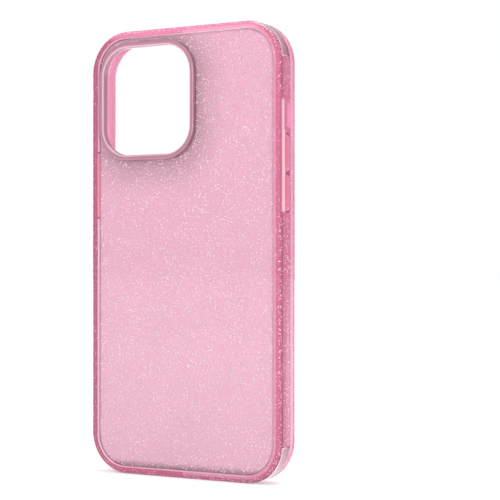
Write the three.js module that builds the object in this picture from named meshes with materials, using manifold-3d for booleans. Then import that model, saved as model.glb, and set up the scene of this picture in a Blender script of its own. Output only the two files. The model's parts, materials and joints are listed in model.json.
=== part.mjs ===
// A slim protective case for a 6.7-inch phone, standing upright on its bottom edge.
// Millimetres. X is the width, Y the thickness (the case's back faces -Y, the screen side +Y), Z is up.
// The origin is in the middle of the bottom edge. Keys for volume are on the +X side, the power key on -X.

import * as THREE from "three";
import { mergeVertices } from "three/addons/utils/BufferGeometryUtils.js";
import Module from "manifold-3d";

const wasm = await Module();
wasm.setup();

// ---- the phone that the case fits ----
const PHONE_WIDTH = 76.7;
const PHONE_LENGTH = 159.9;
const PHONE_CORNER = 13.5;
const PHONE_DEPTH = 8.25;
const FIT = 0.15; // room round the phone on each side

// ---- walls ----
const SIDE_WALL = 2.4;
const END_WALL = 2.9;
const CORNER_RADIUS = 15.2;
const BACK_EDGE_RADIUS = 2.0;
const LIP_EDGE_RADIUS = 1.2;
const BACK_RECESS = 0.35; // the back plate lies this far below the rim
const BOND = 0.05; // bond line between laminated sheets
const SEAM = 0.1; // parting line between moulded parts
const GROOVE = 0.2; // visible line round the back plate

// ---- the back, from outside in ----
const BEZEL_RISE = 0.8; // camera bezel above the rim of the bumper
const PLATE_THICKNESS = 0.75;
const SHEET_THICKNESS = 0.25;
const LINER_THICKNESS = 0.4;
const PLATE_SIDE_MARGIN = 3.7;
const PLATE_END_MARGIN = 3.1;

// ---- the front lip ----
const LIP_DEPTH = 4.0;
const LIP_ABOVE_GLASS = 1.15;
const LIP_OVERHANG = 1.2;
const EARPIECE_NOTCH = 10;

// ---- camera opening ----
const CAMERA = { x: -15.8, z: 139.4, width: 37.8, height: 40.2, radius: 10.5 };
const BEZEL_RIM = 2.0;
const BEZEL_EDGE_RADIUS = 0.56;
const BEZEL_SLEEVE = 0.8;
const SLEEVE_ROOM = 0.15; // between the sleeve and the sheets round it
const SLEEVE_ROOT = 0.4; // how far the sleeve reaches into the collar

// ---- corner cushions ----
const CUSHION_THICKNESS = 1.5;
const CUSHION_BACK = 1.2; // their back edge lies this far in front of the rim
const CUSHION_START = 6 * (Math.PI / 180); // turned from the straight wall before a cushion begins

// ---- keys and openings ----
const KEY_Y = -0.2; // middle of the keys across the wall
const KEY_WIDTH = 3.5;
const KEY_END_RADIUS = 0.42; // as a share of a key's width
const KEY_GAP = 0.25;
const KEY_PROUD = 0.3;
const KEY_FLANGE = 0.5; // how far the hidden flange reaches past the cap
const FLANGE_THICKNESS = 0.6;
const FLANGE_POCKET = 1.2; // depth of the flange's pocket from the cavity side
const FLANGE_SETBACK = 0.45; // the flange's face from the cavity, room for the travel
const POWER_KEY = { from: 96.4, to: 120.4 };
const VOLUME_DOWN_KEY = { from: 97.2, to: 110.6 };
const VOLUME_UP_KEY = { from: 111.4, to: 124.8 };
const ACTION_SLOT = { from: 127.2, to: 136.2, back: -1.0, front: 3.6 };
const PORT_WIDTH = 14;
const PORT_POST = 3.5;
const PORT_BACK = -1.9;
const PORT_FRONT = 3.5;
const SCOOP = 0.5;

// ---- fineness ----
const ARC_STEPS = 5;
const BEVEL_STEPS = 3;
const KEY_ARC_STEPS = 3;
const KEY_BEVEL_STEPS = 2;
const WELD = 1e-4; // vertices nearer to each other than this are one
const PAST = 2; // how far a cutting shape runs past what it cuts

// ---- finishes ----
const GLITTER_BUMPER = { color: 0xf08db6, roughness: 0.3, opacity: 0.8 };
const CLEAR_TRIM = { color: 0xfbdbe6, roughness: 0.1, opacity: 0.5 };
const CLEAR_BACK = { color: 0xfbdbe6, roughness: 0.08, opacity: 0.4 };
const GLITTER_LAYER = { color: 0xf08db6, roughness: 0.4, opacity: 1 };
const SOFT_LINER = { color: 0xf7c3d6, roughness: 0.5, opacity: 0.9 };
const SMOOTH_BEZEL = { color: 0xf7c3d6, roughness: 0.15, opacity: 0.8 };
const KEY_CAP = { color: 0xf08db6, roughness: 0.2, opacity: 0.9 };

// ---- worked out from the sizes above ----
const CAVITY = {
  width: PHONE_WIDTH + 2 * FIT,
  height: PHONE_LENGTH + 2 * FIT,
  radius: PHONE_CORNER + FIT,
};
const WIDTH = CAVITY.width + 2 * SIDE_WALL;
const LENGTH = CAVITY.height + 2 * END_WALL;
const CAVITY_DEPTH = PHONE_DEPTH + FIT;
const THICKNESS =
  BACK_RECESS +
  PLATE_THICKNESS +
  SHEET_THICKNESS +
  LINER_THICKNESS +
  2 * BOND +
  CAVITY_DEPTH +
  LIP_ABOVE_GLASS;
const FRONT_Y = (THICKNESS + BEZEL_RISE) / 2;
const BEZEL_Y = -FRONT_Y;
const RIM_Y = BEZEL_Y + BEZEL_RISE;
const PLATE_Y = RIM_Y + BACK_RECESS;
const SHEET_Y = PLATE_Y + PLATE_THICKNESS + BOND;
const LINER_Y = SHEET_Y + SHEET_THICKNESS + BOND;
const FLOOR_Y = LINER_Y + LINER_THICKNESS;
const GLASS_Y = FLOOR_Y + CAVITY_DEPTH;
const LIP_Y = FRONT_Y - LIP_DEPTH;
const WALL_TOP_Y = LIP_Y - SEAM;
const MIDDLE_Z = LENGTH / 2;

const OUTER = { width: WIDTH, height: LENGTH, radius: CORNER_RADIUS };
const PLATE = inset(OUTER, PLATE_SIDE_MARGIN, PLATE_END_MARGIN);
const BEZEL_OUTSIDE = inset(CAMERA, -BEZEL_RIM);
const SLEEVE_OUTSIDE = inset(CAMERA, -BEZEL_SLEEVE);
const SLEEVE_HOLE = inset(CAMERA, -BEZEL_SLEEVE - SLEEVE_ROOM);

// A rounded outline made smaller on each side, or larger for a negative amount.
function inset(outline, sides, ends = sides) {
  return {
    ...outline,
    width: outline.width - 2 * sides,
    height: outline.height - 2 * ends,
    radius: outline.radius - sides,
  };
}

// A rectangle with round corners as a THREE.Shape, centred on 0,0.
function roundedShape({ width, height, radius }) {
  const x = width / 2 - radius;
  const y = height / 2 - radius;
  const shape = new THREE.Shape();
  shape.absarc(x, y, radius, 0, Math.PI / 2);
  shape.absarc(-x, y, radius, Math.PI / 2, Math.PI);
  shape.absarc(-x, -y, radius, Math.PI, 1.5 * Math.PI);
  shape.absarc(x, -y, radius, 1.5 * Math.PI, 2 * Math.PI);
  shape.closePath();
  return shape;
}

// A closed three.js geometry as a solid that can be cut and joined.
function solid(geometry) {
  const bare = geometry.clone();
  bare.deleteAttribute("normal");
  bare.deleteAttribute("uv");
  const merged = mergeVertices(bare, WELD);
  return new wasm.Manifold(
    new wasm.Mesh({
      numProp: 3,
      vertProperties: merged.attributes.position.array,
      triVerts: new Uint32Array(merged.index.array),
    }),
  );
}

// A flat slab with a round-cornered outline between two Y levels. Its edges may be rounded by a radius.
function slab(outline, fromY, toY, edge = 0) {
  const geometry = new THREE.ExtrudeGeometry(roundedShape(outline), {
    depth: toY - fromY - 2 * edge,
    curveSegments: ARC_STEPS,
    bevelEnabled: edge > 0,
    bevelThickness: edge,
    bevelSize: edge,
    bevelOffset: -edge,
    bevelSegments: BEVEL_STEPS,
  });
  geometry.rotateX(Math.PI / 2);
  geometry.translate(outline.x ?? 0, toY - edge, outline.z ?? MIDDLE_Z);
  return solid(geometry);
}

// A box between two corners.
function block([x0, y0, z0], [x1, y1, z1]) {
  const geometry = new THREE.BoxGeometry(x1 - x0, y1 - y0, z1 - z0);
  geometry.translate((x0 + x1) / 2, (y0 + y1) / 2, (z0 + z1) / 2);
  return solid(geometry);
}

// A bar with a stadium-shaped section in Y and Z, lying along X. side is 1 for +X and -1 for -X.
function barAcrossWall(side, fromX, toX, { from, to }, width, edge = 0) {
  const outline = { width: to - from, height: width, radius: width * KEY_END_RADIUS };
  const geometry = new THREE.ExtrudeGeometry(roundedShape(outline), {
    depth: toX - fromX - 2 * edge,
    curveSegments: KEY_ARC_STEPS,
    bevelEnabled: edge > 0,
    bevelThickness: edge,
    bevelSize: edge,
    bevelOffset: -edge,
    bevelSegments: KEY_BEVEL_STEPS,
  });
  geometry.rotateY((side * Math.PI) / 2);
  geometry.translate(side * (fromX + edge), KEY_Y, (from + to) / 2);
  return solid(geometry);
}

// A span along Z made longer at both ends.
function longer({ from, to }, amount) {
  return { from: from - amount, to: to + amount };
}

const meshes = [];

// Turns a solid into a named mesh with its own material.
function piece(name, shape, finish) {
  const made = shape.getMesh();
  const geometry = new THREE.BufferGeometry();
  geometry.setAttribute("position", new THREE.BufferAttribute(made.vertProperties, 3));
  geometry.setIndex(new THREE.BufferAttribute(made.triVerts, 1));
  geometry.computeVertexNormals();
  const material = new THREE.MeshStandardMaterial({
    ...finish,
    metalness: 0,
    transparent: finish.opacity < 1,
  });
  const mesh = new THREE.Mesh(geometry, material);
  mesh.name = name;
  meshes.push(mesh);
}

// ---- the four corners of the case ----
const CORNERS = [
  { name: "top_right", x: 1, z: 1 },
  { name: "top_left", x: -1, z: 1 },
  { name: "bottom_right", x: 1, z: -1 },
  { name: "bottom_left", x: -1, z: -1 },
];

// The region of one corner that its cushion fills, or the seat cut for it when it is made larger.
function cornerRegion({ x, z }, clearance) {
  const turn = CORNER_RADIUS * (1 - Math.sin(CUSHION_START)) + clearance;
  const inside = [x * (WIDTH / 2 - turn), z * (LENGTH / 2 - turn) + MIDDLE_Z];
  const outside = [x * (WIDTH / 2 + PAST), z * (LENGTH / 2 + PAST) + MIDDLE_Z];
  const low = inside.map((value, i) => Math.min(value, outside[i]));
  const high = inside.map((value, i) => Math.max(value, outside[i]));
  const backY = RIM_Y + CUSHION_BACK - clearance;
  const core = slab(inset(OUTER, CUSHION_THICKNESS + clearance), RIM_Y - PAST, FRONT_Y + PAST);
  return block([low[0], backY, low[1]], [high[0], WALL_TOP_Y + clearance, high[1]]).subtract(core);
}

// The whole outside of the case: its rim rounded at the back, its lip rounded at the front.
function outside(fromY, toY, edge) {
  return slab(OUTER, fromY, toY, edge);
}

const KEYS = [
  { name: "volume_up_key", side: 1, span: VOLUME_UP_KEY },
  { name: "volume_down_key", side: 1, span: VOLUME_DOWN_KEY },
  { name: "power_key", side: -1, span: POWER_KEY },
];

// A key: a cap that stands in the wall's window and a wider flange behind it that keeps it in.
function key({ side, span }) {
  const inner = CAVITY.width / 2;
  const cap = barAcrossWall(
    side,
    inner + FLANGE_SETBACK,
    inner + SIDE_WALL + KEY_PROUD,
    span,
    KEY_WIDTH,
    KEY_PROUD,
  );
  const flange = barAcrossWall(
    side,
    inner + FLANGE_SETBACK,
    inner + FLANGE_SETBACK + FLANGE_THICKNESS,
    span,
    KEY_WIDTH + 2 * KEY_FLANGE,
  );
  return cap.add(flange);
}

// The window through the wall for a key, with the pocket for its flange.
function keyWindow({ side, span }) {
  const inner = CAVITY.width / 2;
  const window = barAcrossWall(
    side,
    inner - PAST,
    inner + SIDE_WALL + PAST,
    longer(span, KEY_GAP),
    KEY_WIDTH + 2 * KEY_GAP,
  );
  const pocket = barAcrossWall(
    side,
    inner - PAST,
    inner + FLANGE_POCKET,
    longer(span, KEY_GAP),
    KEY_WIDTH + 2 * (KEY_FLANGE + KEY_GAP),
  );
  return window.add(pocket);
}

// The open slot over the phone's action button, with a shallow scoop round it for a fingertip.
function actionSlot() {
  const { from, to, back, front } = ACTION_SLOT;
  const through = block([CAVITY.width / 2 - PAST, back, from], [WIDTH / 2 + PAST, front, to]);
  const scoop = block(
    [WIDTH / 2 - SCOOP, back - SCOOP, from - SCOOP],
    [WIDTH / 2 + PAST, front, to + SCOOP],
  );
  return through.add(scoop);
}

// The three openings of the bottom wall, for the plug in the middle and the sound on both sides.
function ports() {
  const pitch = PORT_WIDTH + PORT_POST;
  const openings = [-1, 0, 1].map((i) =>
    block(
      [i * pitch - PORT_WIDTH / 2, PORT_BACK, -PAST],
      [i * pitch + PORT_WIDTH / 2, PORT_FRONT, END_WALL + PAST],
    ),
  );
  return openings[0].add(openings[1]).add(openings[2]);
}

// The soft frame round the four sides, with a rim at the back that holds the plate.
function bumper() {
  const wall = outside(RIM_Y, FRONT_Y + PAST, BACK_EDGE_RADIUS).subtract(
    slab(inset(OUTER, -PAST), WALL_TOP_Y, FRONT_Y + 2 * PAST),
  );
  let frame = wall
    .subtract(slab(CAVITY, SHEET_Y - BOND, FRONT_Y))
    .subtract(slab(inset(PLATE, -GROOVE), RIM_Y - PAST, SHEET_Y + BOND))
    .subtract(actionSlot())
    .subtract(ports());
  for (const corner of CORNERS) frame = frame.subtract(cornerRegion(corner, SEAM));
  for (const each of KEYS) frame = frame.subtract(keyWindow(each));
  return frame;
}

// The clear lip round the screen, hooked over the glass, with a notch for the earpiece.
function lip() {
  const ring = outside(RIM_Y, FRONT_Y, LIP_EDGE_RADIUS).subtract(
    slab(inset(OUTER, -PAST), RIM_Y - PAST, LIP_Y),
  );
  const notch = block(
    [-EARPIECE_NOTCH / 2, GLASS_Y - BOND, LENGTH - END_WALL - LIP_OVERHANG - PAST],
    [EARPIECE_NOTCH / 2, FRONT_Y + PAST, LENGTH - END_WALL],
  );
  return ring
    .subtract(slab(CAVITY, RIM_Y, GLASS_Y))
    .subtract(slab(inset(CAVITY, LIP_OVERHANG), RIM_Y, FRONT_Y + PAST))
    .subtract(notch)
    .subtract(actionSlot())
    .subtract(ports());
}

// A sheet of the laminated back with the camera's hole in it.
function sheet(outline, fromY, toY) {
  return slab(outline, fromY, toY).subtract(slab(SLEEVE_HOLE, fromY - PAST, toY + PAST));
}

// The raised ring round the camera, with a sleeve that lines the hole in the back.
function cameraBezel() {
  const collar = slab(BEZEL_OUTSIDE, BEZEL_Y, PLATE_Y + BEZEL_RISE, BEZEL_EDGE_RADIUS).subtract(
    slab(inset(BEZEL_OUTSIDE, -PAST), PLATE_Y - BOND, PLATE_Y + PAST),
  );
  const sleeve = slab(SLEEVE_OUTSIDE, PLATE_Y - SLEEVE_ROOT, FLOOR_Y);
  return collar.add(sleeve).subtract(slab(CAMERA, BEZEL_Y - PAST, FLOOR_Y + PAST));
}

piece("bumper_frame", bumper(), GLITTER_BUMPER);
piece("screen_lip", lip(), CLEAR_TRIM);
for (const corner of CORNERS) {
  const cushion = outside(RIM_Y, FRONT_Y + PAST, BACK_EDGE_RADIUS).intersect(cornerRegion(corner, 0));
  piece("corner_cushion_" + corner.name, cushion, CLEAR_TRIM);
}
piece("back_plate", sheet(PLATE, PLATE_Y, PLATE_Y + PLATE_THICKNESS), CLEAR_BACK);
piece("glitter_sheet", sheet(inset(CAVITY, GROOVE), SHEET_Y, SHEET_Y + SHEET_THICKNESS), GLITTER_LAYER);
piece("inner_liner", sheet(inset(CAVITY, GROOVE), LINER_Y, FLOOR_Y), SOFT_LINER);
piece("camera_bezel", cameraBezel(), SMOOTH_BEZEL);
for (const each of KEYS) piece(each.name, key(each), KEY_CAP);

const phoneCase = new THREE.Group();
phoneCase.add(...meshes);

export default phoneCase;
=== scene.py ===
"""A translucent pink glitter phone case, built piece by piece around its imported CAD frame."""

import json
import math

import bmesh
import bpy
import numpy as np
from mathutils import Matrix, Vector


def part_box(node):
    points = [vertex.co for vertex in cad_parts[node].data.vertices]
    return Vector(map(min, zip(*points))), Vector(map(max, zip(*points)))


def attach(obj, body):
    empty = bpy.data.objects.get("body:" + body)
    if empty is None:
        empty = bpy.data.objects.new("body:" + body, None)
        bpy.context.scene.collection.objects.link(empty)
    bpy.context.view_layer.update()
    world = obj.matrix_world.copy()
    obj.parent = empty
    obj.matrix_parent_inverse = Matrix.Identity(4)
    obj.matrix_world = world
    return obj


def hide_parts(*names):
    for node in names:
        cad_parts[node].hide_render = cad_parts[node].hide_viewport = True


bl_info = {
    "name": "Glitter Phone Case",
    "version": (1, 0, 0),
    "blender": (4, 5, 0),
    "location": "3D View > Sidebar > Phone Case",
    "description": "Builds the moulded pieces, the glitter and the studio of a phone case",
    "category": "Add Mesh",
}

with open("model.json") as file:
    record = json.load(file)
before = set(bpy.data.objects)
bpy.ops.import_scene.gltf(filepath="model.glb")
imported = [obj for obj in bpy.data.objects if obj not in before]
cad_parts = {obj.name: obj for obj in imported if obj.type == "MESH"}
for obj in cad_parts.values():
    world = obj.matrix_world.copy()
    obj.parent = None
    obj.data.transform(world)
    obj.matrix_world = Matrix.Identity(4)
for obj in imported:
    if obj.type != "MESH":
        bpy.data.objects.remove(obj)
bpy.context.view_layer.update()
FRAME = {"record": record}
MM = 0.001
SHELL = "shell"

# ---- levels and outlines taken from the frame ----
BUMPER_LOW, BUMPER_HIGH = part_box("bumper_frame")
LIP_LOW, LIP_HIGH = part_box("screen_lip")
PLATE_LOW, PLATE_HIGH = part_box("back_plate")
SHEET_LOW, SHEET_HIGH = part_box("glitter_sheet")
LINER_LOW, LINER_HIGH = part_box("inner_liner")
BEZEL_LOW, BEZEL_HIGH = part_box("camera_bezel")
MIDDLE = (BUMPER_LOW + BUMPER_HIGH) / 2
RIM_Y, WALL_TOP_Y = BUMPER_LOW.y, BUMPER_HIGH.y
LIP_Y, FRONT_Y = LIP_LOW.y, LIP_HIGH.y
FLOOR_Y = LINER_HIGH.y

# ---- sizes that the frame's boxes don't give ----
CORNER_RADIUS = 15.2 * MM
CAVITY_RADIUS = 13.65 * MM
LINER_CLEARANCE = 0.2 * MM
CAVITY_DEPTH = 8.4 * MM
LIP_OVERHANG = 1.2 * MM
BACK_EDGE = 2.0 * MM
LIP_EDGE = 1.2 * MM
GROOVE = 0.2 * MM
BOND = 0.05 * MM
PARTING_Y = RIM_Y + 1.2 * MM
PLATE_SINK = 0.3 * MM
CUSHION_DEPTH = 1.5 * MM
SEAT_DEPTH = 1.6 * MM
CUSHION_START = 6.0
BEZEL_RADIUS = 12.5 * MM
BEZEL_RIM = 2.0 * MM
SLEEVE_WALL = 0.8 * MM
GLASS_Y = FLOOR_Y + CAVITY_DEPTH
ARC_STEPS = 14


class Outline:
    """A rectangle with round corners in the X-Z plane, round its own centre."""

    def __init__(self, half_x, half_z, radius, x=0.0, z=None):
        self.half_x, self.half_z, self.radius = half_x, half_z, radius
        self.x, self.z = x, MIDDLE.z if z is None else z

    def inset(self, amount):
        return Outline(
            self.half_x - amount, self.half_z - amount, self.radius - amount, self.x, self.z
        )

    def towards(self, other, share):
        """The outline part of the way from this one to another."""
        blend = [
            a + (b - a) * share
            for a, b in zip(self.measures(), other.measures(), strict=True)
        ]
        return Outline(*blend)

    def measures(self):
        return self.half_x, self.half_z, self.radius, self.x, self.z

    def at(self, corner, degrees, extra=0.0):
        """A point on one of the four corner arcs, pushed in by extra along the arc's radius."""
        sign_x, sign_z = CORNER_SIGNS[corner]
        turn = math.radians(corner * 90 + degrees)
        reach = self.radius - extra
        return (
            self.x + sign_x * (self.half_x - self.radius) + reach * math.cos(turn),
            self.z + sign_z * (self.half_z - self.radius) + reach * math.sin(turn),
        )

    def loop(self, y, seat=None):
        """The whole outline as 3D points at one Y level. seat pushes the cushions' stretches in."""
        points = []
        for corner in range(4):
            for degrees, in_seat in ARC:
                extra = seat if seat is not None and in_seat else 0.0
                x, z = self.at(corner, degrees, extra)
                points.append((x, y, z))
        return points


def arc_stations():
    """Angles along a corner arc, each with whether it lies in a cushion's seat."""
    first, last = CUSHION_START, 90 - CUSHION_START
    step = 0.12
    stations = [(0.0, False), (3.0, False), (first - step, False)]
    stations += [(float(a), True) for a in np.linspace(first, last, ARC_STEPS)]
    stations += [(last + step, False), (87.0, False), (90.0, False)]
    return stations


CORNER_SIGNS = ((1, 1), (-1, 1), (-1, -1), (1, -1))
CORNER_NAMES = ("top_right", "top_left", "bottom_left", "bottom_right")
ARC = arc_stations()

OUTER = Outline(BUMPER_HIGH.x, MIDDLE.z, CORNER_RADIUS)
CAVITY = Outline(
    LINER_HIGH.x + LINER_CLEARANCE,
    LINER_HIGH.z - MIDDLE.z + LINER_CLEARANCE,
    CAVITY_RADIUS,
)
PLATE = Outline(
    PLATE_HIGH.x,
    PLATE_HIGH.z - MIDDLE.z,
    CORNER_RADIUS - BUMPER_HIGH.x + PLATE_HIGH.x,
)
BEZEL = Outline(
    (BEZEL_HIGH.x - BEZEL_LOW.x) / 2,
    (BEZEL_HIGH.z - BEZEL_LOW.z) / 2,
    BEZEL_RADIUS,
    (BEZEL_HIGH.x + BEZEL_LOW.x) / 2,
    (BEZEL_HIGH.z + BEZEL_LOW.z) / 2,
)
SLEEVE_HOLE = BEZEL.inset(BEZEL_RIM - SLEEVE_WALL - 3 * BOND)


# ---- mesh work ----
def ring(name, loops):
    """A closed body made of loops joined one after another, the last one to the first."""
    mesh = bmesh.new()
    rows = [[mesh.verts.new(p) for p in loop] for loop in loops]
    for row, following in zip(rows, rows[1:] + rows[:1], strict=True):
        join_rows(mesh, row, following)
    return finished(name, mesh)


def spindle(name, loops):
    """A closed body made of loops joined one after another, with a face at each end."""
    mesh = bmesh.new()
    rows = [[mesh.verts.new(p) for p in loop] for loop in loops]
    for row, following in zip(rows, rows[1:], strict=False):
        join_rows(mesh, row, following)
    mesh.faces.new(rows[0][::-1])
    mesh.faces.new(rows[-1])
    return finished(name, mesh)


def join_rows(mesh, row, following):
    """Faces between two loops of the same length."""
    count = len(row)
    for i in range(count):
        j = (i + 1) % count
        mesh.faces.new((row[i], row[j], following[j], following[i]))


def finished(name, mesh, sharp=32.0):
    """Turns a bmesh into an object with smooth faces, and sharp edges above an angle."""
    bmesh.ops.recalc_face_normals(mesh, faces=mesh.faces[:])
    data = bpy.data.meshes.new(name)
    mesh.to_mesh(data)
    mesh.free()
    thing = bpy.data.objects.new(name, data)
    bpy.context.scene.collection.objects.link(thing)
    smooth(thing, sharp)
    return thing


def smooth(thing, sharp=32.0):
    thing.data.polygons.foreach_set("use_smooth", [True] * len(thing.data.polygons))
    thing.data.set_sharp_from_angle(angle=math.radians(sharp))


def carve(thing, cutters):
    """Cuts the cutters out of a piece and removes them."""
    for cutter in cutters:
        cut = thing.modifiers.new("cut", "BOOLEAN")
        cut.operation = "DIFFERENCE"
        cut.solver = "EXACT"
        cut.object = cutter
    graph = bpy.context.evaluated_depsgraph_get()
    carved = bpy.data.meshes.new_from_object(thing.evaluated_get(graph), depsgraph=graph)
    thing.modifiers.clear()
    thing.data = carved
    for cutter in cutters:
        bpy.data.objects.remove(cutter)
    smooth(thing)


def stadium(half_length, half_width, x, y, z, roundness=0.85, steps=6):
    """A loop with round ends in the Y-Z plane, long along Z."""
    radius = min(half_width, half_length) * roundness
    points = []
    for quarter, (sign_y, sign_z) in enumerate(((1, 1), (-1, 1), (-1, -1), (1, -1))):
        for step in range(steps + 1):
            turn = math.radians(quarter * 90 + 90 * step / steps)
            points.append(
                (
                    x,
                    y + sign_y * (half_width - radius) + radius * math.cos(turn),
                    z + sign_z * (half_length - radius) + radius * math.sin(turn),
                )
            )
    return points


def ride(piece, body, slot, *nodes):
    """The piece moves with a body and stands for CAD nodes, which it hides. The slot is not used."""
    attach(piece, body)
    if nodes:
        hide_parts(*nodes)


# ---- shaders ----
class Wire:
    """A socket's output that can be used in sums."""

    def __init__(self, finish, socket):
        self.finish, self.socket = finish, socket

    def math(self, operation, *values):
        node = self.finish.node("ShaderNodeMath", {"operation": operation}, *values)
        return Wire(self.finish, node.outputs[0])

    def __add__(self, other):
        return self.math("ADD", self, other)

    __radd__ = __add__

    def __sub__(self, other):
        return self.math("SUBTRACT", self, other)

    def __rsub__(self, other):
        return self.math("SUBTRACT", other, self)

    def __mul__(self, other):
        return self.math("MULTIPLY", self, other)

    __rmul__ = __mul__

    def __truediv__(self, other):
        return self.math("DIVIDE", self, other)

    def __pow__(self, other):
        return self.math("POWER", self, other)

    def __abs__(self):
        return self.math("ABSOLUTE", self)

    def __lt__(self, other):
        return self.math("LESS_THAN", self, other)

    def __gt__(self, other):
        return self.math("GREATER_THAN", self, other)

    def at_least(self, other):
        return self.math("MAXIMUM", self, other)

    def at_most(self, other):
        return self.math("MINIMUM", self, other)

    def ramp(self, start, end):
        """0 up to start, 1 from end on, and a straight climb between them."""
        return ((self - start) / (end - start)).at_least(0.0).at_most(1.0)

    def band(self, start, end, soft):
        """1 between start and end, fading out over soft on both sides."""
        return self.ramp(start - soft, start) * (1 - self.ramp(end, end + soft))


class Nodes:
    """A node tree and the methods that fill it."""

    def __init__(self, tree):
        self.tree = tree

    def node(self, kind, settings=None, *values, **named):
        """A node of a kind: its settings first, then its sockets by place or by name."""
        made = self.tree.nodes.new(kind)
        for key, value in (settings or {}).items():
            setattr(made, key, value)
        for place, value in enumerate(values):
            self.feed(made.inputs[place], value)
        for key, value in named.items():
            self.feed(made.inputs[key.replace("_", " ")], value)
        return made

    def feed(self, socket, value):
        if isinstance(value, Wire):
            self.tree.links.new(value.socket, socket)
        else:
            socket.default_value = value

    def wire(self, node, output=0):
        return Wire(self, node.outputs[output])

    def place(self):
        return self.wire(self.node("ShaderNodeTexCoord"), "Object")

    def axes(self):
        """A place's X, Y and Z."""
        split = self.node("ShaderNodeSeparateXYZ", None, self.place())
        return [self.wire(split, i) for i in range(3)]

    def depth(self, outline):
        """How far a place lies inside an outline, up to the outline's corner radius."""
        x, _, z = self.axes()
        over_x = (abs(x - outline.x) - (outline.half_x - outline.radius)).at_least(0.0)
        over_z = (abs(z - outline.z) - (outline.half_z - outline.radius)).at_least(0.0)
        return outline.radius - (over_x * over_x + over_z * over_z) ** 0.5

    def noise(self, scale, detail=3.0, roughness=0.5):
        node = self.node(
            "ShaderNodeTexNoise", None, Vector=self.place(), Scale=scale, Detail=detail, Roughness=roughness
        )
        return self.wire(node, "Fac")

    def cells(self, scale, randomness=1.0):
        """Cell noise: the distance to each cell's middle and the cell's own colour."""
        node = self.node(
            "ShaderNodeTexVoronoi", None, Vector=self.place(), Scale=scale, Randomness=randomness
        )
        return self.wire(node, "Distance"), self.wire(node, "Color")

    def share(self, colour):
        """One random number from a cell's colour."""
        return self.wire(self.node("ShaderNodeSeparateColor", None, colour), "Red")

    def mix(self, factor, first, second):
        node = self.node("ShaderNodeMix", {"data_type": "RGBA"})
        self.feed(node.inputs["Factor"], factor)
        self.feed(node.inputs[6], first)
        self.feed(node.inputs[7], second)
        return Wire(self, node.outputs[2])

    def bump(self, height, strength, distance):
        node = self.node(
            "ShaderNodeBump", None, Strength=strength, Distance=distance, Height=height
        )
        return self.wire(node)


class Finish(Nodes):
    """A material and the nodes that make it."""

    def __init__(self, name):
        self.material = bpy.data.materials.new(name)
        self.material.use_nodes = True
        super().__init__(self.material.node_tree)
        self.tree.nodes.clear()

    def principled(self, **named):
        shader = self.node("ShaderNodeBsdfPrincipled", None, **named)
        output = self.node("ShaderNodeOutputMaterial")
        self.tree.links.new(shader.outputs[0], output.inputs["Surface"])
        return self.material


def glitter_mask(finish, size, share, radius):
    """Where flecks lie: 1 on a fleck. size is the spacing in metres and share how many cells hold one."""
    distance, colour = finish.cells(1.0 / size)
    return (distance < radius) * (finish.share(colour) < share)


def rgba(colour):
    return (*colour, 1.0)


def glitter_sheet_finish(colours):
    """Milky pink full of fine flecks, with painted shade along its border and towards its bottom, and a
    painted shadow round the camera ring.
    """
    f = Finish("glitter_sheet")
    cloud = f.noise(70.0, 2.0)
    grain = f.noise(1100.0, 3.0, 0.6)
    fine = glitter_mask(f, 0.8 * MM, 0.5, 0.34)
    bright = glitter_mask(f, 1.1 * MM, 0.3, 0.24)
    # Painted shade along the border, where the sheet meets the bumper.
    border = 1 - f.depth(PLATE).ramp(0.2 * MM, 0.9 * MM)
    _, _, z = f.axes()
    # Painted shade, darker towards the bottom.
    foot_shade = 1 - z.ramp(PLATE_LOW.z + 0.2 * MM, PLATE_LOW.z + 2.4 * MM)
    # Painted shadow round the camera ring, reaching 14 mm out and shifted right and down.
    reach = 14.0 * MM
    around = BEZEL.inset(-reach)
    around.x, around.z = BEZEL.x + 0.7 * MM, BEZEL.z - 1.2 * MM
    ring_shadow = (f.depth(around) / reach).at_least(0.0).at_most(1.0)
    base = f.mix(cloud * 0.4 + grain * 0.6, rgba(colours.sheet_deep), rgba(colours.sheet))
    speckled = f.mix(fine * 0.3, base, rgba(colours.fleck))
    glinting = f.mix(bright * 0.5, speckled, rgba(colours.glint))
    shaded = f.mix(ring_shadow**1.6 * 0.85, glinting, rgba(colours.sheet_shade))
    bordered = f.mix(border * 0.4, shaded, rgba(colours.sheet_edge_shade))
    return f.principled(
        Base_Color=f.mix(foot_shade * 0.8, bordered, rgba(colours.seam)),
        Roughness=0.5 - fine * 0.2,
        Normal=f.bump(fine + bright, 0.2, 0.00005),
    )


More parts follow.
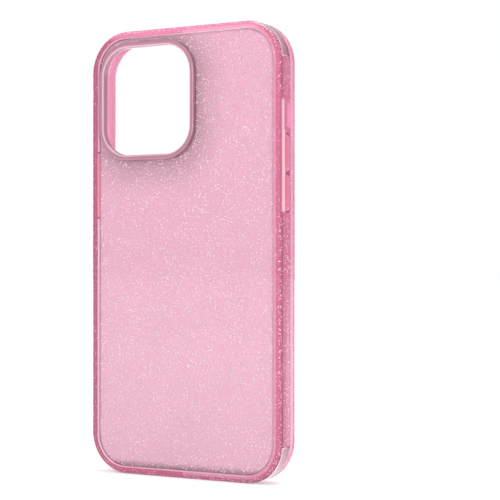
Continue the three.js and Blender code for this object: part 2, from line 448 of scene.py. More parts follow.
def bumper_finish(colours):
    """Glossy translucent pink with flecks. Painted highlights on the bead, in the scoop and on the
    right-hand flat of the rim, painted light on the top edge, painted shade in the grooves, along the
    parting line, at the bottom, on the rounded back edge and on the left side, a painted refraction of the
    power key, and a dark line at the joint with the lip.
    """
    f = Finish("glitter_bumper")
    fine = glitter_mask(f, 0.75 * MM, 0.4, 0.27)
    bright = glitter_mask(f, 0.95 * MM, 0.28, 0.2)
    inset = f.depth(OUTER)
    x, y, z = f.axes()
    on_rim = y < PARTING_Y
    from_plate = 0 - f.depth(PLATE.inset(-GROOVE))
    # Painted highlight along the bead of the rim.
    bead = from_plate.band(0.03 * MM, 0.3 * MM, 0.04 * MM) * on_rim
    # Painted shade down in the groove round the plate.
    groove = (1 - from_plate.ramp(-0.05 * MM, 0.02 * MM)) * on_rim
    # Painted highlight on the flat of the rim, on the right-hand side only, where more light falls.
    right_land_highlight = from_plate.band(0.4 * MM, 1.2 * MM, 0.3 * MM) * on_rim * (x > 0)
    # Painted shade, darker towards the bottom.
    bottom_shade = 1 - z.ramp(0.3 * MM, 2.6 * MM)
    # Painted light: brighter along the top edge, where light falls from above.
    top = z.ramp(BUMPER_HIGH.z - 3.5 * MM, BUMPER_HIGH.z - 2.0 * MM)
    # Painted shade on the left side of the rim, which faces away from the light.
    left_side_shade = (0 - x).ramp(30 * MM, 38 * MM) * on_rim
    # Painted shade on the rounded back edge.
    rounded_edge_shade = (1 - inset.ramp(0.9 * MM, 1.5 * MM)) * on_rim
    belt = y.ramp(-2.3 * MM, -1.6 * MM) * (1 - y.ramp(0.7 * MM, 1.3 * MM))
    lip_seam = y.ramp(WALL_TOP_Y - 0.35 * MM, WALL_TOP_Y - 0.1 * MM)
    on_wall = 1 - inset.ramp(0.5 * MM, 1.0 * MM)
    # Painted shade along the parting line's crease.
    parting = y.band(PARTING_Y - 0.14 * MM, PARTING_Y + 0.2 * MM, 0.15 * MM) * on_wall
    base = f.mix(f.noise(140.0), rgba(colours.bumper_deep), rgba(colours.bumper))
    base = f.mix(belt * 0.55, base, rgba(colours.bumper_belt))
    base = f.mix(top * 0.5, base, rgba(colours.bumper_top_light))
    base = f.mix((left_side_shade * 0.45).at_least(rounded_edge_shade * (1 - top) * 0.2), base, rgba(colours.seam))
    base = f.mix((bead * 0.8).at_least(right_land_highlight * 0.22), base, rgba(colours.bead))
    # Painted highlight on the sloped scoop beside the keys.
    scoop = (x > 38 * MM) * on_bank(z) * y.band(PARTING_Y, -2.3 * MM, 0.3 * MM)
    base = f.mix(scoop * 0.65, base, rgba(colours.scoop))
    low, high = KEY_SPANS["power_key"]
    # Painted refraction of the power key, as seen through the rim on the left.
    key_refraction = (x < 0) * z.band(low.z, high.z, 0.3 * MM) * from_plate.band(0.0, 0.5 * MM, 0.05 * MM)
    base = f.mix(key_refraction * on_rim * 0.7, base, rgba(colours.key))
    # Painted dark marks at the ends of that refraction.
    below = z.band(low.z - 0.6 * MM, low.z - 0.1 * MM, 0.15 * MM)
    above = z.band(high.z + 0.1 * MM, high.z + 0.6 * MM, 0.15 * MM)
    key_refraction_ends = (below + above) * (x < 0) * from_plate.band(0.0, 0.7 * MM, 0.1 * MM) * on_rim
    # Painted shade in the groove, along the parting line and at the bottom, painted dark ends of the key's
    # refraction, and a dark line at the joint with the lip.
    dark = (groove * 0.5).at_least(bottom_shade * 0.35).at_least(parting)
    dark = dark.at_least(key_refraction_ends * 0.9).at_least(lip_seam * 0.9)
    base = f.mix(dark, base, rgba(colours.seam))
    base = f.mix(fine * 0.22, base, rgba(colours.fleck))
    return f.principled(
        Base_Color=f.mix(bright * 0.4, base, rgba(colours.glint)),
        Roughness=0.16 + f.noise(700.0) * 0.12,
        Normal=f.bump(f.noise(420.0), 0.1, 0.00008),
        Transmission_Weight=0.12,
        IOR=1.47,
        Specular_IOR_Level=0.3,
        Coat_Weight=0.25,
        Coat_Roughness=0.06,
    )


def on_bank(z):
    """1 along the volume keys and the action slot."""
    start, end = BANK
    return z.band(start + 1 * MM, end - 1 * MM, 1 * MM)


def clear_finish(name, tint, roughness, bump, clear=1.0):
    """Clear moulded plastic with a faint tint and the slight unevenness of a mould."""
    f = Finish(name)
    return f.principled(
        Base_Color=rgba(tint),
        Roughness=roughness + f.noise(260.0) * roughness,
        Normal=f.bump(f.noise(160.0, 2.0), bump, 0.0001),
        Transmission_Weight=clear,
        IOR=1.46,
    )


def bezel_finish(colours):
    """Smooth polished mauve pink without flecks, with a painted highlight along its inner edge."""
    f = Finish("smooth_bezel")
    inset = f.depth(BEZEL)
    _, y, _ = f.axes()
    # Painted highlight along the inner edge.
    lit_edge = inset.band(1.5 * MM, 1.75 * MM, 0.15 * MM) * (y < BEZEL_LOW.y + 0.6 * MM)
    base = f.mix(f.noise(110.0, 2.0), rgba(colours.bezel_deep), rgba(colours.bezel))
    return f.principled(
        Base_Color=f.mix(lit_edge * 0.6, base, rgba(colours.bead)),
        Roughness=0.14 + f.noise(500.0) * 0.08,
        Normal=f.bump(f.noise(200.0), 0.05, 0.0001),
        Transmission_Weight=0.3,
        IOR=1.47,
        Coat_Weight=0.7,
        Coat_Roughness=0.04,
    )


def key_finish(colours):
    """Glossy deep pink of the keys."""
    f = Finish("key_cap")
    return f.principled(
        Base_Color=f.mix(f.noise(180.0), rgba(colours.key_deep), rgba(colours.key)),
        Roughness=0.12 + f.noise(600.0) * 0.1,
        Normal=f.bump(f.noise(300.0), 0.08, 0.00008),
        Transmission_Weight=0.3,
        IOR=1.47,
        Coat_Weight=0.8,
        Coat_Roughness=0.05,
    )


def liner_finish(colours):
    """Satin lining with a fine raised dot pattern that keeps the phone from sticking."""
    f = Finish("soft_liner")
    distance, _ = f.cells(1000 / 1.1, 0.0)
    dots = distance < 0.3
    return f.principled(
        Base_Color=f.mix(f.noise(120.0), rgba(colours.liner_deep), rgba(colours.liner)),
        Roughness=0.42 + f.noise(800.0) * 0.15,
        Normal=f.bump(dots, 0.5, 0.00012),
    )


def flake_finish(colours, name, glow):
    """Pearly foil of the loose flakes, each with its own tone. Those under the plate glow a little, as
    painted light that stands in for the light the plate keeps from them.
    """
    f = Finish(name)
    tone = f.wire(f.node("ShaderNodeAttribute", {"attribute_name": "tone"}), "Fac")
    return f.principled(
        Base_Color=f.mix(tone, rgba(colours.fleck), rgba(colours.glint)),
        Roughness=0.45 - tone * 0.2,
        # Painted light: the brighter flakes glow.
        Emission_Color=f.mix(tone * tone, rgba((0.0, 0.0, 0.0)), rgba(colours.glow)),
        Emission_Strength=glow,
    )


# ---- settings that a user would change ----
def colour_property(name, description, default):
    return bpy.props.FloatVectorProperty(
        name=name,
        description=description,
        subtype="COLOR",
        size=3,
        min=0.0,
        max=1.0,
        default=default,
    )


class CaseColours(bpy.types.PropertyGroup):
    """Colours of the mouldings and the glitter."""

    sheet: colour_property("Sheet", "Milky pink of the glitter sheet", (0.90, 0.465, 0.63))
    sheet_deep: colour_property("Sheet, deep", "Its darker clouds", (0.84, 0.40, 0.56))
    # Painted shade along the sheet's border, where it meets the bumper.
    sheet_edge_shade: colour_property("Sheet, border", "Where it meets the bumper", (0.55, 0.20, 0.31))
    # Painted shadow round the camera ring.
    sheet_shade: colour_property("Sheet, shade", "Round the camera ring", (0.50, 0.24, 0.32))
    bumper: colour_property("Bumper", "Pink of the soft frame", (0.56, 0.13, 0.24))
    bumper_deep: colour_property("Bumper, deep", "Its darker clouds", (0.46, 0.09, 0.18))
    bumper_belt: colour_property("Bumper, middle", "The paler middle of its walls", (0.62, 0.15, 0.27))
    # Painted light along the top edge of the bumper.
    bumper_top_light: colour_property("Bumper, top", "Its brighter top edge", (0.86, 0.30, 0.49))
    # Painted highlight on the rim's bead and on the camera ring's inner edge.
    bead: colour_property("Bead", "The pale bead of the rim", (1.0, 0.68, 0.82))
    # Painted highlight in the scoop beside the keys.
    scoop: colour_property("Scoop", "The pale hollow beside the keys", (0.98, 0.66, 0.78))
    # Dark lines at joints, and also the painted shade of grooves, creases, the bottom, the left side and
    # the rounded back edge.
    seam: colour_property("Seams", "Grooves and parting lines", (0.26, 0.07, 0.13))
    bezel: colour_property("Bezel", "Mauve pink of the camera ring", (0.51, 0.23, 0.32))
    bezel_deep: colour_property("Bezel, deep", "Its darker clouds", (0.43, 0.18, 0.26))
    # Also the painted refraction of the power key on the left rim.
    key: colour_property("Keys", "Pink of the keys", (0.86, 0.20, 0.32))
    key_deep: colour_property("Keys, deep", "Their darker clouds", (0.76, 0.14, 0.25))
    liner: colour_property("Liner", "Pink of the lining", (0.93, 0.54, 0.67))
    liner_deep: colour_property("Liner, deep", "Its darker clouds", (0.87, 0.47, 0.60))
    fleck: colour_property("Fleck", "Most of the flecks", (1.0, 0.72, 0.82))
    glint: colour_property("Glint", "The brightest flecks", (1.0, 0.88, 0.93))
    # Painted light: the emission colour of the flakes under the plate, standing in for the light the plate
    # keeps from them.
    glow: colour_property("Flake glow", "Light that the flakes under the plate gather", (1.0, 0.80, 0.87))
    lip: colour_property("Lip", "Tint of the clear lip", (0.97, 0.42, 0.62))
    cushion: colour_property("Cushions", "Tint of the corner cushions", (1.0, 0.80, 0.89))
    window: colour_property("Back plate", "Tint of the clear back plate", (1.0, 1.0, 1.0))


class CaseSizes(bpy.types.PropertyGroup):
    """Sizes of what the CAD frame leaves to the looks."""

    flake_size: bpy.props.FloatProperty(
        name="Flake size",
        description="Width of an average glitter flake",
        subtype="DISTANCE",
        unit="LENGTH",
        default=0.42 * MM,
        min=0.1 * MM,
        max=2 * MM,
    )
    back_flakes: bpy.props.IntProperty(
        name="Flakes in the back",
        description="How many flakes lie in the back plate",
        default=9500,
        min=0,
    )
    bumper_flakes: bpy.props.IntProperty(
        name="Flakes in the bumper",
        description="How many flakes lie in the skin of the bumper",
        default=2600,
        min=0,
    )
    camera_distance: bpy.props.FloatProperty(
        name="Camera distance",
        description="From the middle of the case to the camera",
        subtype="DISTANCE",
        unit="LENGTH",
        default=0.5404,
    )
    camera_azimuth: bpy.props.FloatProperty(
        name="Camera azimuth",
        description="How far the camera is turned round the case from its back",
        subtype="ANGLE",
        unit="ROTATION",
        default=math.radians(31.56),
    )


def settings():
    return bpy.context.scene.case_colours, bpy.context.scene.case_sizes


# ---- pieces ----
def bumper_loops():
    """The section of the soft frame, once round: flange, groove, bead, rounded edge, wall, cavity."""
    flange = PLATE.inset(-GROOVE)
    crest = flange.inset(-0.34 * MM)
    flange_front = SHEET_LOW.y - BOND
    loops = [
        flange.loop(flange_front),
        flange.loop(RIM_Y + 0.86 * MM),
        flange.towards(crest, 0.12).loop(RIM_Y + 0.74 * MM),
        flange.towards(crest, 0.7).loop(RIM_Y + 0.14 * MM),
        flange.towards(crest, 0.86).loop(RIM_Y + 0.04 * MM),
        crest.loop(RIM_Y),
        OUTER.inset(2.3 * MM).loop(RIM_Y + 0.04 * MM),
        OUTER.inset(1.75 * MM).loop(RIM_Y + 0.17 * MM),
    ]
    for degrees in (26, 36, 47, 58, 66):
        turn = math.radians(degrees)
        inset = BACK_EDGE * (1 - math.sin(turn))
        loops.append(OUTER.inset(inset).loop(RIM_Y + BACK_EDGE * (1 - math.cos(turn))))
    loops += [
        OUTER.inset(0.42 * MM).loop(PARTING_Y + 0.05 * MM, SEAT_DEPTH - 0.42 * MM),
        OUTER.inset(0.4 * MM).loop(PARTING_Y + 0.14 * MM, SEAT_DEPTH - 0.4 * MM),
        OUTER.inset(0.12 * MM).loop(PARTING_Y + 0.3 * MM, SEAT_DEPTH - 0.12 * MM),
        OUTER.inset(0.03 * MM).loop(PARTING_Y + 0.6 * MM, SEAT_DEPTH - 0.03 * MM),
        OUTER.loop(RIM_Y + BACK_EDGE, SEAT_DEPTH),
        OUTER.loop(WALL_TOP_Y - 0.2 * MM, SEAT_DEPTH),
        OUTER.inset(0.06 * MM).loop(WALL_TOP_Y - 0.07 * MM, SEAT_DEPTH - 0.06 * MM),
        OUTER.inset(0.2 * MM).loop(WALL_TOP_Y, SEAT_DEPTH - 0.2 * MM),
        CAVITY.loop(WALL_TOP_Y),
        CAVITY.loop(flange_front),
    ]
    return loops


def lip_loops():
    """The section of the clear lip, once round."""
    opening = CAVITY.inset(LIP_OVERHANG)
    loops = [
        OUTER.inset(0.2 * MM).loop(LIP_Y),
        OUTER.inset(0.06 * MM).loop(LIP_Y + 0.07 * MM),
        OUTER.loop(LIP_Y + 0.2 * MM),
    ]
    for step in range(7):
        turn = math.radians(90 * step / 6)
        loops.append(
            OUTER.inset(LIP_EDGE * (1 - math.cos(turn))).loop(
                FRONT_Y - LIP_EDGE * (1 - math.sin(turn))
            )
        )
    loops += [
        opening.inset(-0.4 * MM).loop(FRONT_Y),
        opening.inset(-0.12 * MM).loop(FRONT_Y - 0.1 * MM),
        opening.loop(FRONT_Y - 0.38 * MM),
        opening.loop(GLASS_Y + 0.1 * MM),
        opening.inset(-0.12 * MM).loop(GLASS_Y),
        CAVITY.inset(0.2 * MM).loop(GLASS_Y),
        CAVITY.loop(GLASS_Y - 0.2 * MM),
        CAVITY.loop(LIP_Y),
    ]
    return loops


KEY_BODIES = {
    "volume_up_key": "volume_up",
    "volume_down_key": "volume_down",
    "power_key": "power",
}
KEY_SPANS = {name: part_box(name) for name in KEY_BODIES}
BANK_BELOW = 0.6 * MM
BANK_ABOVE = 13.0 * MM
BANK = (
    KEY_SPANS["volume_down_key"][0].z - BANK_BELOW,
    KEY_SPANS["volume_up_key"][1].z + BANK_ABOVE,
)
SCOOP_X = (0.038, 0.042)
SCOOP_Y = (-0.005, -0.001)
WINDOW_GAP = 0.22 * MM
KEY_FLANGE = 0.5 * MM
KEY_PROUD = 0.3 * MM


def key_section(name):
    """A key's middle, half sizes of its cap and the side of the case it is on."""
    low, high = KEY_SPANS[name]
    side = 1 if high.x > 0 else -1
    half_width = (high.y - low.y) / 2 - KEY_FLANGE
    return (low + high) / 2, (high.z - low.z) / 2, half_width, side


def window_cutter(name):
    """Cuts a key's window with a slightly flared mouth."""
    middle, half_length, half_width, side = key_section(name)
    wall = OUTER.half_x
    stations = (
        (CAVITY.half_x - 2 * MM, KEY_FLANGE),
        (CAVITY.half_x + 1.2 * MM, KEY_FLANGE),
        (CAVITY.half_x + 1.21 * MM, 0.0),
        (wall - 0.25 * MM, 0.0),
        (wall + 0.5 * MM, 0.42 * MM),
    )
    loops = [
        stadium(
            half_length + WINDOW_GAP + min(wider, 0.3 * MM),
            half_width + WINDOW_GAP + wider,
            side * x,
            middle.y,
            middle.z,
        )
        for x, wider in stations
    ]
    return spindle("window_cutter", loops)


def bank_cutter(low_z, high_z, edge_y, depth):
    """Cuts a sloped finger scoop into the wall behind the keys, from edge_y back to the rim."""
    wall, back = OUTER.half_x, PARTING_Y
    section = (
        (wall + 0.05 * MM, edge_y),
        (wall - depth, back),
        (wall + 0.7 * MM, back - 0.35 * MM),
        (wall + 0.7 * MM, edge_y),
    )
    ends = ((low_z - 0.5 * MM, 0.0), (low_z, 1.0), (high_z, 1.0), (high_z + 0.5 * MM, 0.0))
    loops = []
    for z, share in ends:
        push = (1 - share) * depth
        loops.append([(x + push, y, z) for x, y in section])
    return spindle("bank_cutter", loops)


def box_cutter(low, high, flare=0.0, axis=0, sign=1):
    """A box that widens towards one end along an axis."""
    mesh = bmesh.new()
    bmesh.ops.create_cube(mesh, size=1.0)
    low, high = Vector(low), Vector(high)
    for vert in mesh.verts:
        point = Vector(low[i] if vert.co[i] < 0 else high[i] for i in range(3))
        if vert.co[axis] * sign > 0:
            middle = (low + high) / 2
            for i in range(3):
                if i != axis:
                    point[i] += flare if point[i] > middle[i] else -flare
        vert.co = point
    return finished("box_cutter", mesh)


def opening(name):
    """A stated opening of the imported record, in metres."""
    for stated in FRAME["record"]["physics"]["openings"]:
        if stated["name"] == name:
            return Vector(stated["box_m"][0]), Vector(stated["box_m"][1])
    raise RuntimeError("the record states no opening named " + name)


def side_cutters():
    """The action slot and the three ports, for one piece."""
    low, high = opening("action_slot")
    cutters = [box_cutter(low, high)]
    scoop_low = Vector((OUTER.half_x - 0.45 * MM, low.y - 0.05 * MM, low.z - 0.05 * MM))
    scoop_high = Vector((OUTER.half_x + 0.4 * MM, high.y + 0.02 * MM, high.z + 0.05 * MM))
    cutters.append(box_cutter(scoop_low, scoop_high, 0.9 * MM))
    for name in ("port_left", "port_middle", "port_right"):
        low, high = opening(name)
        cutters.append(box_cutter(low, high + Vector((0, 0, 0.5 * MM))))
        mouth_high = Vector((high.x, high.y, 0.35 * MM))
        cutters.append(box_cutter(low, mouth_high, 0.5 * MM, axis=2, sign=-1))
    return cutters


def notch_cutter():
    """The notch of the lip over the earpiece."""
    top = CAVITY.z + CAVITY.half_z
    half = 5.0 * MM
    low = (-half, GLASS_Y - 0.02 * MM, top - LIP_OVERHANG - 1 * MM)
    return box_cutter(low, (half, FRONT_Y + 1 * MM, top - 0.2 * MM), 0.3 * MM, axis=1)


def cushion(corner):
    """One clear corner cushion: its section swept round the corner, with softened ends."""
    section = [
        (CUSHION_DEPTH, PARTING_Y + 0.1 * MM),
        (0.36 * MM, PARTING_Y + 0.1 * MM),
        (0.2 * MM, PARTING_Y + 0.16 * MM),
        (0.1 * MM, PARTING_Y + 0.3 * MM),
        (0.02 * MM, PARTING_Y + 0.6 * MM),
        (0.0, RIM_Y + BACK_EDGE + 0.2 * MM),
        (0.0, WALL_TOP_Y - 0.2 * MM),
        (0.05 * MM, WALL_TOP_Y - 0.08 * MM),
        (0.16 * MM, WALL_TOP_Y - 0.03 * MM),
        (CUSHION_DEPTH, WALL_TOP_Y - 0.03 * MM),
    ]
    first, last = CUSHION_START + 0.4, 90 - CUSHION_START - 0.4
    inner = [float(a) for a in np.linspace(first + 1.6, last - 1.6, 18)]
    ends = ((0.0, 0.3), (0.35, 0.12), (0.9, 0.03))
    stations = [(first + turn, drop) for turn, drop in ends]
    stations += [(turn, 0.0) for turn in inner]
    stations += [(last - turn, drop) for turn, drop in reversed(ends)]
    loops = []
    for degrees, drop in stations:
        loop = []
        for inset, y in section:
            sunk = max(inset, drop * MM)
            x, z = OUTER.at(corner, degrees, sunk)
            loop.append((x, y, z))
        loops.append(loop)
    return spindle("cushion_" + CORNER_NAMES[corner], loops)


def bezel_loops():
    """The raised camera ring: rounded outside, sloped inside, with its sleeve."""
    section = (
        (0.0, PLATE_LOW.y - 0.02 * MM),
        (0.02 * MM, BEZEL_LOW.y + 0.5 * MM),
        (0.12 * MM, BEZEL_LOW.y + 0.2 * MM),
        (0.32 * MM, BEZEL_LOW.y + 0.04 * MM),
        (0.6 * MM, BEZEL_LOW.y),
        (1.35 * MM, BEZEL_LOW.y + 0.12 * MM),
        (1.62 * MM, BEZEL_LOW.y + 0.22 * MM),
        (1.86 * MM, BEZEL_LOW.y + 0.5 * MM),
        (2.0 * MM, BEZEL_LOW.y + 1.0 * MM),
        (2.0 * MM, FLOOR_Y - 0.1 * MM),
        (1.9 * MM, FLOOR_Y),
        (1.2 * MM, FLOOR_Y),
        (1.2 * MM, PLATE_LOW.y - 0.02 * MM),
    )
    return [BEZEL.inset(inset).loop(y) for inset, y in section]


def sheet_loops(outline, low_y, high_y, edge):
    """A flat sheet with softened outer edges and the camera's hole."""
    return [
        outline.loop(low_y + edge),
        outline.inset(edge).loop(low_y),
        SLEEVE_HOLE.loop(low_y),
        SLEEVE_HOLE.loop(high_y),
        outline.inset(edge).loop(high_y),
        outline.loop(high_y - edge),
    ]


def key_piece(name):
    """A key: hidden flange, neck and a crowned cap with sloped ends."""
    middle, half_length, half_width, side = key_section(name)
    inner = CAVITY.half_x + 0.45 * MM
    face = OUTER.half_x + KEY_PROUD
    stations = (
        (inner, KEY_FLANGE, 0.0),
        (inner + 0.6 * MM, KEY_FLANGE, 0.0),
        (inner + 0.61 * MM, 0.0, 0.0),
        (face - 0.75 * MM, 0.0, 0.0),
        (face - 0.5 * MM, -0.06 * MM, -0.08 * MM),
        (face - 0.2 * MM, -0.3 * MM, -0.4 * MM),
        (face - 0.06 * MM, -0.52 * MM, -0.7 * MM),
        (face, -0.95 * MM, -1.3 * MM),
    )
    loops = [
        stadium(half_length + longer, half_width + wider, side * x, middle.y, middle.z)
        for x, wider, longer in stations
    ]
    return spindle(name.replace("_key", "_button"), loops)


# ---- glitter flakes ----
FLAKE_THICKNESS = 0.035 * MM
BACK_SEED = 41
BUMPER_SEED = 43


def flakes(name, places, facing, tones, size, tumble, rng):
    """One mesh of thin six-sided flakes, each tilted at random from the way it faces."""
    count = len(places)
    width = size * rng.uniform(0.6, 1.3, count)
    tilt = rng.normal(0.0, tumble, (count, 3))
    normal = facing + tilt
    normal /= np.linalg.norm(normal, axis=1, keepdims=True)
    helper = np.where(np.abs(normal[:, 2:3]) < 0.8, (0.0, 0.0, 1.0), (1.0, 0.0, 0.0))
    across = np.cross(normal, helper)
    across /= np.linalg.norm(across, axis=1, keepdims=True)
    along = np.cross(normal, across)
    spin = rng.uniform(0, math.tau, count)
    corners = []
    for side in (-1, 1):
        for k in range(6):
            turn = spin + k * math.tau / 6
            reach = (width / 2)[:, None]
            ring_point = across * np.cos(turn)[:, None] + along * np.sin(turn)[:, None]
            corners.append(places + ring_point * reach + normal * side * FLAKE_THICKNESS / 2)
    points = np.stack(corners, axis=1).reshape(-1, 3)
    pattern = [tuple(range(5, -1, -1)), tuple(range(6, 12))]
    pattern += [(k, (k + 1) % 6, 6 + (k + 1) % 6, 6 + k) for k in range(6)]
    faces = [tuple(12 * i + v for v in face) for i in range(count) for face in pattern]
    data = bpy.data.meshes.new(name)
    data.from_pydata(points.tolist(), [], faces)
    tone = data.attributes.new("tone", "FLOAT", "POINT")
    tone.data.foreach_set("value", np.repeat(tones, 12).astype(np.float32))
    thing = bpy.data.objects.new(name, data)
    bpy.context.scene.collection.objects.link(thing)
    return thing


def flake_tones(count, rng, bright):
    """Most flakes are faint, and a share of them is bright."""
    faint = rng.uniform(0.0, 0.5, count)
    return np.where(rng.random(count) < bright, rng.uniform(0.8, 1.0, count), faint)


def inside(outline, x, z):
    """Whether points lie in a rounded outline."""
    dx = np.maximum(np.abs(x - outline.x) - (outline.half_x - outline.radius), 0)
    dz = np.maximum(np.abs(z - outline.z) - (outline.half_z - outline.radius), 0)
    return dx * dx + dz * dz < outline.radius**2


def back_flakes(count, size):
    """Flakes floating in the clear plate, in front of the sheet."""
    rng = np.random.default_rng(BACK_SEED)
    margin = PLATE.inset(0.3 * MM)
    x = rng.uniform(-margin.half_x, margin.half_x, count * 2)
    z = rng.uniform(margin.z - margin.half_z, margin.z + margin.half_z, count * 2)
    keep = inside(margin, x, z) & ~inside(BEZEL.inset(-0.2 * MM), x, z)
    x, z = x[keep][:count], z[keep][:count]
    y = rng.uniform(PLATE_LOW.y + PLATE_SINK + 0.13 * MM, PLATE_HIGH.y - 0.12 * MM, len(x))
    places = np.stack((x, y, z), axis=1)
    facing = np.tile((0.0, -1.0, 0.0), (len(x), 1))
    tones = flake_tones(len(x), rng, 0.35)
    return flakes("back_glitter", places, facing, tones, size, 0.28, rng)


def wall_clear(points):
    """Whether points on the wall are away from its key windows, slot, ports and the scoop behind the keys,
    and above the very bottom.
    """
    ok = points[:, 2] > 0.6 * MM
    boxes = [opening(n) for n in ("action_slot", "port_left", "port_middle", "port_right")]
    boxes += [(low, high) for low, high in KEY_SPANS.values()]
    scoop_low = Vector((SCOOP_X[0], SCOOP_Y[0], BANK[0]))
    boxes.append((scoop_low, Vector((SCOOP_X[1], SCOOP_Y[1], BANK[1]))))
    room = 0.9 * MM
    for low, high in boxes:
        hit = np.ones(len(points), bool)
        for axis in range(3):
            hit &= (points[:, axis] > low[axis] - room) & (points[:, axis] < high[axis] + room)
        ok &= ~hit
    return ok


def bumper_flakes(count, size):
    """Flakes in the skin of the bumper's rim, rounded edge and walls."""
    rng = np.random.default_rng(BUMPER_SEED)
    station = rng.uniform(0, 1, count)
    arc = np.array(OUTER.loop(0.0))[:, [0, 2]]
    arc = np.vstack((arc, arc[:1]))
    lengths = np.linalg.norm(np.diff(arc, axis=0), axis=1)
    at = np.concatenate(([0.0], np.cumsum(lengths)))
    s = station * at[-1]
    x = np.interp(s, at, arc[:, 0])
    z = np.interp(s, at, arc[:, 1])
    dx = np.interp(s + 1e-5, at, arc[:, 0]) - x
    dz = np.interp(s + 1e-5, at, arc[:, 1]) - z
    out = np.stack((dz, -dx), axis=1)
    out /= np.maximum(np.linalg.norm(out, axis=1, keepdims=True), 1e-12)
    # Where on the section: the sloped rim, the rounded edge or the wall.
    part = rng.random(count)
    turn = np.radians(rng.uniform(24, 64, count))
    slide = rng.uniform(0, 1, count)
    rim = part < 0.12
    edge = (part >= 0.12) & (part < 0.45)
    edge_inset = np.where(edge, BACK_EDGE * (1 - np.sin(turn)), 0.0)
    inset = np.where(rim, (2.5 - 0.7 * slide) * MM, edge_inset)
    y = np.where(
        rim,
        RIM_Y + (0.02 + 0.14 * slide) * MM,
        np.where(
            edge,
            RIM_Y + BACK_EDGE * (1 - np.cos(turn)),
            PARTING_Y + 0.7 * MM + slide * (WALL_TOP_Y - PARTING_Y - 1.1 * MM),
        ),
    )
    lean = np.where(rim, np.radians(11), np.where(edge, turn, np.radians(90)))
    sunk = 0.012 * MM
    px = x - out[:, 0] * (inset + sunk * np.sin(lean))
    pz = z - out[:, 1] * (inset + sunk * np.sin(lean))
    places = np.stack((px, y + sunk * np.cos(lean), pz), axis=1)
    facing = np.stack(
        (out[:, 0] * np.sin(lean), -np.cos(lean), out[:, 1] * np.sin(lean)), axis=1
    )
    reach = CORNER_RADIUS * (1 - math.sin(math.radians(CUSHION_START)))
    corner_x = np.abs(px) > OUTER.half_x - reach
    corner_z = np.abs(pz - MIDDLE.z) > OUTER.half_z - reach
    in_cushion = corner_x & corner_z & (places[:, 1] > PARTING_Y)
    keep = wall_clear(places) & ~in_cushion
    tones = flake_tones(count, rng, 0.4)
    keep &= np.abs(places[:, 2] - MIDDLE.z) < OUTER.half_z - 0.12 * MM
    return flakes("bumper_glitter", places[keep], facing[keep], tones[keep], size * 0.65, 0.05, rng)


# ---- operators ----
class CASE_OT_bumper(bpy.types.Operator):
    """Makes the soft glitter frame with its windows, slot and ports"""

    bl_idname = "case.bumper"
    bl_label = "Bumper frame"

    def execute(self, context):
        colours, _ = settings()
        frame = ring("bumper_shell", bumper_loops())
        slot_low, _ = opening("action_slot")
        scoops = [
            bank_cutter(BANK[0], slot_low.z - 0.8 * MM, -2.1 * MM, 0.55 * MM),
            bank_cutter(slot_low.z - 0.8 * MM, BANK[1] - 0.4 * MM, slot_low.y - 0.1 * MM, 0.9 * MM),
        ]
        carve(frame, scoops + [window_cutter(name) for name in KEY_SPANS] + side_cutters())
        frame.data.materials.append(bumper_finish(colours))
        ride(frame, SHELL, "glitter_bumper", "bumper_frame")
        return {"FINISHED"}


class CASE_OT_lip(bpy.types.Operator):
    """Makes the clear lip round the screen"""

    bl_idname = "case.lip"
    bl_label = "Screen lip"

    def execute(self, context):
        colours, _ = settings()
        lip = ring("clear_lip", lip_loops())
        carve(lip, side_cutters() + [notch_cutter()])
        lip.data.materials.append(clear_finish("clear_lip", colours.lip, 0.04, 0.05, 0.75))
        ride(lip, SHELL, "clear_trim", "screen_lip")
        return {"FINISHED"}


class CASE_OT_cushions(bpy.types.Operator):
    """Makes the four clear corner cushions"""

    bl_idname = "case.cushions"
    bl_label = "Corner cushions"

    def execute(self, context):
        colours, _ = settings()
        finish = clear_finish("clear_cushion", colours.cushion, 0.04, 0.06)
        for corner, name in enumerate(CORNER_NAMES):
            piece = cushion(corner)
            piece.data.materials.append(finish)
            ride(piece, SHELL, "clear_trim", "corner_cushion_" + name)
        return {"FINISHED"}


class CASE_OT_back(bpy.types.Operator):
    """Makes the laminated back: clear plate, glitter sheet and lining"""

    bl_idname = "case.back"
    bl_label = "Laminated back"

    def execute(self, context):
        colours, _ = settings()
        sheet_outline = CAVITY.inset(LINER_CLEARANCE)
        plate = ring("clear_plate", sheet_loops(PLATE, PLATE_LOW.y + PLATE_SINK, PLATE_HIGH.y, 0.1 * MM))
        plate.data.materials.append(clear_finish("clear_plate", colours.window, 0.03, 0.02))
        ride(plate, SHELL, "clear_back", "back_plate")
        sheet = ring("glitter_layer", sheet_loops(sheet_outline, SHEET_LOW.y, SHEET_HIGH.y, 0.03 * MM))
        sheet.data.materials.append(glitter_sheet_finish(colours))
        ride(sheet, SHELL, "glitter_layer", "glitter_sheet")
        liner = ring("soft_lining", sheet_loops(sheet_outline, LINER_LOW.y, LINER_HIGH.y, 0.06 * MM))
        liner.data.materials.append(liner_finish(colours))
        ride(liner, SHELL, "soft_liner", "inner_liner")
        return {"FINISHED"}


class CASE_OT_bezel(bpy.types.Operator):
    """Makes the raised ring round the camera"""

    bl_idname = "case.bezel"
    bl_label = "Camera bezel"

    def execute(self, context):
        colours, _ = settings()
        piece = ring("camera_ring", bezel_loops())
        piece.data.materials.append(bezel_finish(colours))
        ride(piece, SHELL, "smooth_bezel", "camera_bezel")
        return {"FINISHED"}


class CASE_OT_keys(bpy.types.Operator):
    """Makes the volume keys and the power key"""

    bl_idname = "case.keys"
    bl_label = "Keys"

    def execute(self, context):
        colours, _ = settings()
        finish = key_finish(colours)
        for name, body in KEY_BODIES.items():
            piece = key_piece(name)
            piece.data.materials.append(finish)
            ride(piece, body, "key_cap", name)
        return {"FINISHED"}


